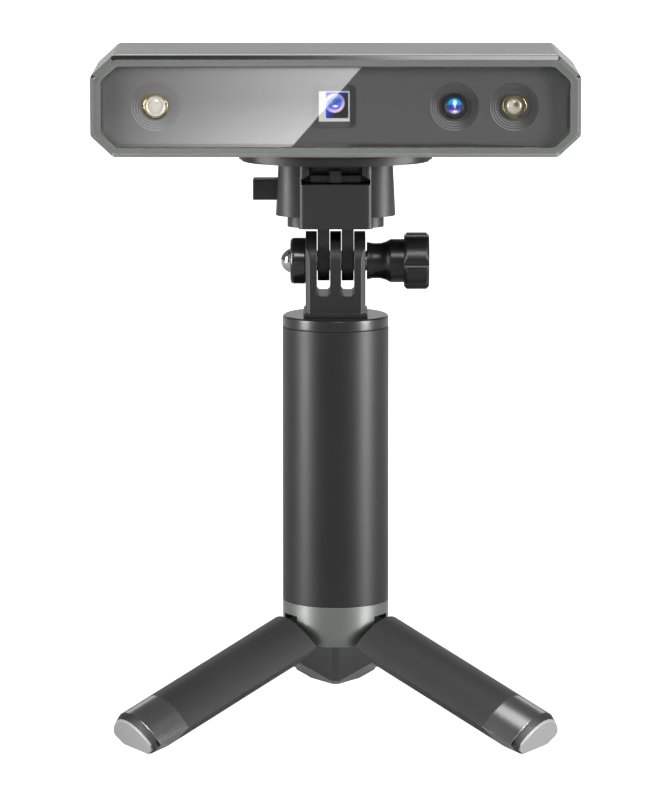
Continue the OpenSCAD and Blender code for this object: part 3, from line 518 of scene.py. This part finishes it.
# edge rounding in millimetres
ROUND = {
    "front_bezel": 0.22, "body_shell": 0.25, "rear_cover": 0.22, "front_glass": 0.08, "optics_face_plate": 0.06,
    "mounting_plate": 0.35, "quick_release_base": 0.35, "release_button": 0.3, "fork_bracket": 0.22,
    "nut_housing": 0.2, "cap_nut": 0.12, "thumb_knob": 0.25, "top_cap": 0.12, "grip_sleeve": 0.15,
    "hub_collar": 0.12, "hinge_block": 0.15, "projector_frame": 0.12, "usb_c_port": 0.05, "power_button": 0.25,
    "case_screws": 0.1, "rgb_barrel": 0.12, "left_ir_barrel": 0.1, "right_ir_barrel": 0.1, "plate_pad": 0.08,
    "status_light_pipe": 0.08, "camera_screw": 0.2, "hub_screw": 0.15,
}
for i in "123":
    ROUND["leg_%s_shell" % i] = 0.14
    ROUND["leg_%s_ferrule" % i] = 0.10
    ROUND["leg_%s_ring" % i] = 0.15
    ROUND["leg_%s_foot" % i] = 0.15


def dress(name):
    o = NODE[name]
    o.data.materials.clear()
    o.data.materials.append(M[USE[name]])
    w = ROUND.get(name)
    if w:
        weld = o.modifiers.new("weld", "WELD")
        weld.merge_threshold = 0.002 * MM
        dec = o.modifiers.new("flat", "DECIMATE")
        dec.decimate_type = "DISSOLVE"
        dec.angle_limit = math.radians(0.6)
        bev = o.modifiers.new("round", "BEVEL")
        bev.width = w * MM
        bev.segments = 3
        bev.limit_method = "ANGLE"
        bev.angle_limit = math.radians(24)
        bev.harden_normals = False
        bev.use_clamp_overlap = True
        wn = o.modifiers.new("normals", "WEIGHTED_NORMAL")
        wn.keep_sharp = False
        wn.weight = 80
        for p in o.data.polygons:
            p.use_smooth = True


for name in NODE:
    dress(name)


# ------------------------------------------------------------------ mesh helpers
def new_object(name, bm, mat, body, smooth_deg=35, bevel=0.0):
    bmesh.ops.recalc_face_normals(bm, faces=bm.faces)
    me = bpy.data.meshes.new(name)
    bm.to_mesh(me)
    bm.free()
    o = bpy.data.objects.new(name, me)
    bpy.context.scene.collection.objects.link(o)
    me.materials.append(M[mat])
    for p in me.polygons:
        p.use_smooth = True
    me.set_sharp_from_angle(angle=math.radians(smooth_deg))
    if bevel:
        b = o.modifiers.new("round", "BEVEL")
        b.width = bevel * MM
        b.segments = 2
        b.limit_method = "ANGLE"
        b.angle_limit = math.radians(30)
    wn = o.modifiers.new("normals", "WEIGHTED_NORMAL")
    wn.keep_sharp = True
    wn.weight = 80
    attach(o, body)
    return o


def lathe(name, profile, axis, centre, mat, body, seg=96, closed=False, bevel=0.0, smooth_deg=35, flute=None):
    """profile: (radius, distance along the axis) in mm; a closed one is a ring, an open one starts and ends on the axis."""
    bm = bmesh.new()
    rings = []
    for r, t in profile:
        if r <= 1e-6:
            rings.append([bm.verts.new(place(0, 0, t, axis, centre))])
        else:
            ring = []
            for k in range(seg):
                a = 2 * math.pi * k / seg
                rr = r if flute is None else flute(r, t, a)
                ring.append(bm.verts.new(place(rr * math.cos(a), rr * math.sin(a), t, axis, centre)))
            rings.append(ring)
    pairs = list(zip(rings, rings[1:]))
    if closed:
        pairs.append((rings[-1], rings[0]))
    for a, b in pairs:
        if len(a) == 1 and len(b) == 1:
            continue
        for k in range(seg):
            n = (k + 1) % seg
            if len(a) == 1:
                bm.faces.new((a[0], b[k], b[n]))
            elif len(b) == 1:
                bm.faces.new((a[k], a[n], b[0]))
            else:
                bm.faces.new((a[k], a[n], b[n], b[k]))
    return new_object(name, bm, mat, body, smooth_deg, bevel)


def place(u, v, t, axis, c):
    if axis == "Y":
        return Vector((c[0] + u * MM, c[1] + t * MM, c[2] + v * MM))
    if axis == "X":
        return Vector((c[0] + t * MM, c[1] + u * MM, c[2] + v * MM))
    return Vector((c[0] + u * MM, c[1] + v * MM, c[2] + t * MM))


def octagon(w, h, cx, cz, z0=0.0):
    p = [(w / 2 - cx, h / 2), (w / 2, h / 2 - cz), (w / 2, -h / 2 + cz), (w / 2 - cx, -h / 2),
         (-w / 2 + cx, -h / 2), (-w / 2, -h / 2 + cz), (-w / 2, h / 2 - cz), (-w / 2 + cx, h / 2)]
    return [Vector((a, b + z0)) for a, b in p]


def inset(poly, d):
    """Moves every side of a clockwise convex outline inwards by d."""
    n = len(poly)
    lines = []
    for i in range(n):
        a, b = poly[i], poly[(i + 1) % n]
        t = (b - a).normalized()
        inward = Vector((t.y, -t.x))
        lines.append((a + inward * d, t))
    out = []
    for i in range(n):
        p, t = lines[i - 1]
        q, u = lines[i]
        k = ((q - p).x * u.y - (q - p).y * u.x) / (t.x * u.y - t.y * u.x)
        out.append(p + t * k)
    return out


def rounded(poly, r, n=8):
    out = []
    m = len(poly)
    for i in range(m):
        a, p, b = poly[i - 1], poly[i], poly[(i + 1) % m]
        u, v = (a - p).normalized(), (b - p).normalized()
        half = u.angle(v) / 2
        c = p + (u + v).normalized() * (r / math.sin(half))
        s = p + u * (r / math.tan(half)) - c
        e = p + v * (r / math.tan(half)) - c
        a0, a1 = math.atan2(s.y, s.x), math.atan2(e.y, e.x)
        d = (a1 - a0 + math.pi) % (2 * math.pi) - math.pi
        for k in range(n + 1):
            ang = a0 + d * k / n
            out.append(c + Vector((math.cos(ang), math.sin(ang))) * r)
    return out


def loft(name, rings, mat, body, closed=True, caps=False, smooth_deg=35):
    """rings: (outline, y in mm from the front of the head)"""
    bm = bmesh.new()
    vs = []
    for outline, y in rings:
        vs.append([bm.verts.new(Vector((p.x * MM, AY + (-20 + y) * MM, HZ + p.y * MM))) for p in outline])
    pairs = list(zip(vs, vs[1:]))
    if closed:
        pairs.append((vs[-1], vs[0]))
    for a, b in pairs:
        n = len(a)
        for k in range(n):
            bm.faces.new((a[k], a[(k + 1) % n], b[(k + 1) % n], b[k]))
    if caps:
        bm.faces.new(vs[0])
        bm.faces.new(vs[-1])
    return new_object(name, bm, mat, body, smooth_deg)


# ------------------------------------------------------------------ scanner head
OUT = octagon(120, 25, 5.6, 5.2)
WIN = octagon(114.6, 19.9, 3.9, 3.6, -0.15)


def out_ring(d, y):
    return (rounded(inset(OUT, d), max(0.5, 1.8 - 0.6 * d)), y)


def win_ring(d, y):
    return (rounded(inset(WIN, d), 1.8 - 0.6 * d), y)


bezel = loft("bezel_ring", [
    out_ring(0.14, 4.3), out_ring(0.03, 4.25), out_ring(0.0, 4.15), out_ring(0.0, 1.28), out_ring(0.035, 1.12),
    out_ring(0.12, 0.98), out_ring(0.95, 0.08), out_ring(1.0, 0.035), out_ring(1.06, 0.0),
    win_ring(-0.16, 0.0), win_ring(-0.05, 0.03), win_ring(0.0, 0.12), win_ring(0.0, 4.3)], "bezel", "head")
bezel.data.materials.append(M["bevel"])
bezel.data.materials.append(M["bezel_low"])
bezel.data.materials.append(M["bezel_side_painted_shade"])
# chamfers sorted by the way they face: upward ones take the polished finish, the lower one the lighter copy (painted
# light), the side ones the dark copy (painted shade)
for p in bezel.data.polygons:
    nrm, c = p.normal, p.center
    if c.y < AY - 18.6 * MM and 0.2 < -nrm.y < 0.9 and (abs(c.x) > 58.0 * MM or abs(c.z - HZ) > 11.0 * MM):
        p.material_index = 2 if nrm.z < -0.5 else (1 if nrm.z > 0.3 else 3)
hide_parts("front_bezel")

glass = loft("cover_glass", [
    win_ring(0.06, 1.8), win_ring(0.02, 1.75), win_ring(0.02, 0.52), win_ring(0.10, 0.42), win_ring(0.20, 0.40)],
    "glass", "head", closed=False, caps=True)
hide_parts("front_glass")


def at(x, z=0.0):
    return Vector((x * MM, AY - 20 * MM, HZ + (z - 0.15) * MM))


LX, RX, CX, PX = -44.0, 43.7, 29.1, -0.35
ring = [(2.99, 10.9), (2.99, 2.92), (2.95, 2.78), (2.84, 2.71), (2.72, 2.72), (2.60, 2.80), (2.53, 2.95), (2.52, 3.4), (2.52, 10.9)]
# the right IR ring takes the darker gold copy: painted shade
for side, x, mat in (("left", LX, "gold"), ("right", RX, "gold_painted_shade")):
    b = lathe(side + "_ir_ring", ring, "Y", at(x), mat, "head", closed=True)
    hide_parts(side + "_ir_barrel")
pearl = lathe("left_ir_disc", [(0, 2.62), (0.5, 2.63), (1.0, 2.70), (1.45, 2.83), (1.78, 2.98), (1.90, 2.99), (2.02, 2.90), (2.14, 2.74), (2.28, 2.66),
                               (2.40, 2.66), (2.47, 2.72), (2.50, 2.84), (2.50, 9.0), (0, 9.0)], "Y", at(LX), "pearl", "head")
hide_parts("left_ir_lens")
flange = lathe("right_ir_flange", [(1.96, 3.4), (1.98, 3.12), (2.06, 3.02), (2.20, 2.98), (2.36, 3.00), (2.50, 3.08), (2.50, 9.0), (1.96, 9.0)], "Y", at(RX), "gold_dull", "head", closed=True)
champ = lathe("right_ir_dome", [(0, 2.58), (0.45, 2.60), (0.9, 2.68), (1.3, 2.82), (1.62, 2.99), (1.84, 3.17), (1.94, 3.32), (1.94, 8.0), (0, 8.0)], "Y", at(RX), "champagne", "head")
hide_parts("right_ir_lens")

rb = lathe("colour_camera_ring", [(3.22, 10.9), (3.22, 2.95), (3.17, 2.80), (3.05, 2.72), (2.62, 2.72), (2.50, 2.78), (2.44, 2.92), (2.44, 10.9)], "Y", at(CX), "barrel", "head", closed=True)
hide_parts("rgb_barrel")
cone = lathe("colour_camera_stop", [(2.44, 3.05), (2.38, 2.99), (2.28, 3.02), (1.98, 3.28), (1.90, 3.36), (1.88, 3.5), (1.88, 9.0), (2.44, 9.0)], "Y", at(CX), "stop", "head", closed=True)
rl = lathe("colour_camera_lens", [(0, 2.95), (0.4, 2.965), (0.8, 3.03), (1.2, 3.15), (1.55, 3.30), (1.80, 3.45), (1.87, 3.52), (1.87, 8.5), (0, 8.5)], "Y", at(CX), "blue", "head")
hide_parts("rgb_lens")

# projector: a coloured cell behind the frame with painted shade, a thin bright rim, a violet ring and a blue dome with
# painted reflection and highlights; cell, ring and dome glow
PC = at(PX + 0.15, 0.7)
bm = bmesh.new()
x0, x1 = (PX + 0.72 - 2.9) * MM, (PX + 0.72 + 2.9) * MM
z0, z1 = HZ + (-0.15 + 0.26 - 3.3) * MM, HZ + (-0.15 + 0.26 + 3.3) * MM
y0, y1 = AY - 15.9 * MM, AY - 15.7 * MM
cell = []
for y in (y0, y1):
    cell.append([bm.verts.new((x, y, z)) for x, z in ((x0, z0), (x1, z0), (x1, z1), (x0, z1))])
bm.faces.new(cell[0]); bm.faces.new(cell[1])
for k in range(4):
    bm.faces.new((cell[0][k], cell[0][(k + 1) % 4], cell[1][(k + 1) % 4], cell[1][k]))
bmesh.ops.subdivide_edges(bm, edges=bm.edges[:], cuts=6, use_grid_fill=True)
cellobj = new_object("projector_cell_painted_shade", bm, "cellblue", "head")
rim = lathe("projector_rim", [(2.42, 4.10), (2.42, 3.92), (2.38, 3.88), (2.30, 3.88), (2.26, 3.93), (2.26, 4.10)], "Y", PC, "rimwhite", "head", closed=True)
vio = lathe("projector_ring", [(2.25, 4.10), (2.24, 3.98), (2.10, 3.90), (1.85, 3.90), (1.70, 3.96), (1.66, 4.10)], "Y", PC, "violet", "head", closed=True)
dome = lathe("projector_dome_painted_glints", [(0, 3.78), (0.4, 3.79), (0.8, 3.83), (1.2, 3.90), (1.5, 3.98), (1.64, 4.05), (1.64, 9.0), (0, 9.0)], "Y", PC, "domeblue", "head")
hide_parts("projector_lens")

# ------------------------------------------------------------------ clamp
HC = Vector((0, AY, HINGE))
nh = lathe("nut_cup", [(4.5, -7.5), (5.45, -7.5), (5.72, -7.62), (5.80, -7.9), (5.80, -10.3), (5.74, -10.7), (5.58, -11.0), (5.30, -11.22), (4.95, -11.3), (4.62, -11.28), (4.5, -11.15)],
           "X", HC, "gloss", "handle", closed=True)
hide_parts("nut_housing")


def hexagon(r, t, a):
    """A hexagon below the flange, round above it."""
    if t > -11.05 and r > 3.3:
        k = (a + math.pi / 6) % (math.pi / 3) - math.pi / 6
        return min(r, 3.81 / math.cos(k))
    return r


dome_profile = [(2.6, -8.4), (4.35, -8.4), (4.4, -8.55), (4.4, -10.75), (4.2, -10.98), (3.55, -11.1), (3.22, -11.12), (3.12, -11.2)]
for k in range(0, 13):
    a = math.radians(12 + k * 6.5)
    dome_profile.append((3.13 * math.cos(a), -10.55 - 3.13 * math.sin(a)))
dome_profile += [(0, -13.68), ]
cn = lathe("nut_dome", [(0, -8.4)] + dome_profile, "X", HC, "chrome", "handle", flute=hexagon, seg=120)
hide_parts("cap_nut")

# ------------------------------------------------------------------ stage
def plane(name, w, h, loc, rot, mat):
    me = bpy.data.meshes.new(name)
    me.from_pydata([(-w / 2, -h / 2, 0), (w / 2, -h / 2, 0), (w / 2, h / 2, 0), (-w / 2, h / 2, 0)], [], [(0, 1, 2, 3)])
    o = bpy.data.objects.new(name, me)
    bpy.context.scene.collection.objects.link(o)
    o.location = loc
    o.rotation_euler = rot
    o.data.materials.append(mat)
    return o


fm, fnt, fb = principled("floor_pale")
fn = fnt.nodes.new("ShaderNodeTexNoise")
fn.inputs["Scale"].default_value = 6
fmix = fnt.nodes.new("ShaderNodeMix")
fmix.data_type = "RGBA"
fmix.inputs["A"].default_value = (0.34, 0.34, 0.34, 1)
fmix.inputs["B"].default_value = (0.38, 0.38, 0.38, 1)
fnt.links.new(fn.outputs["Fac"], fmix.inputs["Factor"])
fnt.links.new(fmix.outputs["Result"], fb.inputs["Base Color"])
fb.inputs["Roughness"].default_value = 0.9
fb.inputs["Specular IOR Level"].default_value = 0.0
fb.inputs["Emission Color"].default_value = (1, 1, 1, 1)
ftc = fnt.nodes.new("ShaderNodeTexCoord")
fsep = fnt.nodes.new("ShaderNodeSeparateXYZ")
fnt.links.new(ftc.outputs["Object"], fsep.inputs[0])
fmr = fnt.nodes.new("ShaderNodeMapRange")
fmr.interpolation_type = "SMOOTHSTEP"
fmr.inputs["From Min"].default_value = 0.04
fmr.inputs["From Max"].default_value = 0.60
fmr.inputs["To Min"].default_value = FLOOR_GLOW
fmr.inputs["To Max"].default_value = 0.75
fnt.links.new(fsep.outputs["Y"], fmr.inputs["Value"])
fnt.links.new(fmr.outputs[0], fb.inputs["Emission Strength"])
fout = [x for x in fnt.nodes if x.type == "OUTPUT_MATERIAL"][0]
flp = fnt.nodes.new("ShaderNodeLightPath")
fem = fnt.nodes.new("ShaderNodeEmission")
fem.inputs["Strength"].default_value = 0.93
fadd = fnt.nodes.new("ShaderNodeAddShader")
fnt.links.new(fb.outputs[0], fadd.inputs[0])
fnt.links.new(fem.outputs[0], fadd.inputs[1])
fms = fnt.nodes.new("ShaderNodeMixShader")
fnt.links.new(flp.outputs["Is Camera Ray"], fms.inputs[0])
fnt.links.new(fb.outputs[0], fms.inputs[1])
fnt.links.new(fadd.outputs[0], fms.inputs[2])
fnt.links.new(fms.outputs[0], fout.inputs[0])
floor = plane("floor", 12, 12, (0, 0, 0), (0, 0, 0), fm)

# glare card: hidden from the camera, from diffuse light and from shadows, so it shows in glossy reflections, the front
# window among them
cm, cnt, cb = principled("card_glow")
for x in list(cnt.nodes):
    if x.type != "OUTPUT_MATERIAL":
        cnt.nodes.remove(x)
cout = [x for x in cnt.nodes if x.type == "OUTPUT_MATERIAL"][0]
em = cnt.nodes.new("ShaderNodeEmission")
tc = cnt.nodes.new("ShaderNodeTexCoord")
sep = cnt.nodes.new("ShaderNodeSeparateXYZ")
cnt.links.new(tc.outputs["Object"], sep.inputs[0])
grad = cnt.nodes.new("ShaderNodeMapRange")
grad.inputs["From Min"].default_value = -0.085
grad.inputs["From Max"].default_value = 0.005
grad.inputs["To Min"].default_value = 0.15
grad.inputs["To Max"].default_value = 1.0
cnt.links.new(sep.outputs["X"], grad.inputs["Value"])
mul = cnt.nodes.new("ShaderNodeMath")
mul.operation = "MULTIPLY"
mul.inputs[1].default_value = 4.3
gradz = cnt.nodes.new("ShaderNodeMapRange")
gradz.inputs["From Min"].default_value = 0.064
gradz.inputs["From Max"].default_value = 0.096
gradz.inputs["To Min"].default_value = 1.22
gradz.inputs["To Max"].default_value = 0.55
cnt.links.new(sep.outputs["Z"], gradz.inputs["Value"])
gxz = cnt.nodes.new("ShaderNodeMath")
gxz.operation = "MULTIPLY"
cnt.links.new(grad.outputs[0], gxz.inputs[0])
cnt.links.new(gradz.outputs[0], gxz.inputs[1])
cnt.links.new(gxz.outputs[0], mul.inputs[0])
csub = cnt.nodes.new("ShaderNodeVectorMath")
csub.operation = "SUBTRACT"
csub.inputs[1].default_value = (-0.0686, AY - 0.700, 0.0934)
cnt.links.new(tc.outputs["Object"], csub.inputs[0])
clen = cnt.nodes.new("ShaderNodeVectorMath")
clen.operation = "LENGTH"
cnt.links.new(csub.outputs[0], clen.inputs[0])
chole = cnt.nodes.new("ShaderNodeMapRange")
chole.interpolation_type = "SMOOTHSTEP"
chole.inputs["From Min"].default_value = 0.0044
chole.inputs["From Max"].default_value = 0.0053
cnt.links.new(clen.outputs["Value"], chole.inputs["Value"])
cmul = cnt.nodes.new("ShaderNodeMath")
cmul.operation = "MULTIPLY"
cnt.links.new(mul.outputs[0], cmul.inputs[0])
cnt.links.new(chole.outputs[0], cmul.inputs[1])
cnt.links.new(cmul.outputs[0], em.inputs["Strength"])
cnt.links.new(em.outputs[0], cout.inputs[0])
me = bpy.data.meshes.new("glare_card")
cy = AY - 0.700
a, b_ = (0.0102, 0.1089), (-0.0163, 0.0786)
def on_line(z):
    t = (z - b_[1]) / (a[1] - b_[1])
    return b_[0] + t * (a[0] - b_[0])
me.from_pydata([(-0.110, cy, 0.062), (on_line(0.062), cy, 0.062), (on_line(0.126), cy, 0.126), (-0.110, cy, 0.126)], [], [(0, 1, 2, 3)])
card = bpy.data.objects.new("glare_card", me)
bpy.context.scene.collection.objects.link(card)
card.data.materials.append(cm)
cm.cycles.emission_sampling = "FRONT_BACK"
card.visible_camera = False
card.visible_diffuse = False
card.visible_shadow = False


def area(name, loc, target, w, h, power, color=(1, 1, 1)):
    ld = bpy.data.lights.new(name, "AREA")
    ld.shape = "RECTANGLE"
    ld.size = w
    ld.size_y = h
    ld.energy = power
    ld.color = color
    o = bpy.data.objects.new(name, ld)
    bpy.context.scene.collection.objects.link(o)
    o.location = loc
    d = Vector(target) - Vector(loc)
    o.rotation_euler = d.to_track_quat("-Z", "Y").to_euler()
    o.visible_camera = False
    return o


area("strip_left", (-0.75, AY - 0.28, 0.16), (0, AY, 0.10), 0.20, 0.8, 14.3)
area("strip_right", (0.75, AY - 0.30, 0.16), (0, AY, 0.10), 0.20, 0.8, 17.3)
area("overhead", (0.150, AY - 0.03, 0.52), (0.14, AY, 0.16), 0.25, 0.22, 0.42)
area("front_top", (0.10, AY - 1.15, 0.95), (0, AY, 0.14), 0.5, 0.35, 5.0)
area("back", (0, AY + 1.1, 0.40), (0, AY, 0.12), 1.4, 0.30, 1.6)

w = bpy.data.worlds.new("studio")
bpy.context.scene.world = w
w.use_nodes = True
wn = w.node_tree
wn.nodes.clear()
wo = wn.nodes.new("ShaderNodeOutputWorld")
lp = wn.nodes.new("ShaderNodeLightPath")
bg1 = wn.nodes.new("ShaderNodeBackground")
bg1.inputs["Color"].default_value = (1, 1, 1, 1)
bg1.inputs["Strength"].default_value = 0.16
bg2 = wn.nodes.new("ShaderNodeBackground")
bg2.inputs["Color"].default_value = (1, 1, 1, 1)
bg2.inputs["Strength"].default_value = 1.0
mx = wn.nodes.new("ShaderNodeMixShader")
wn.links.new(lp.outputs["Is Camera Ray"], mx.inputs[0])
wn.links.new(bg1.outputs[0], mx.inputs[1])
wn.links.new(bg2.outputs[0], mx.inputs[2])
wn.links.new(mx.outputs[0], wo.inputs[0])

bpy.context.scene.view_settings.view_transform = "Standard"
bpy.context.scene.view_settings.look = "None"

# ------------------------------------------------------------------ camera
cd = bpy.data.cameras.new("camera")
cd.lens = 224.316
cd.sensor_width = 36.0
cd.sensor_fit = "AUTO"
cd.clip_start = 0.05
cd.clip_end = 30
cam = bpy.data.objects.new("camera", cd)
bpy.context.scene.collection.objects.link(cam)
cam.location = (-0.00015, AY - 1.2324, 0.27385)
cam.rotation_euler = (math.radians(90 - 8.805), 0, 0)
bpy.context.scene.camera = cam
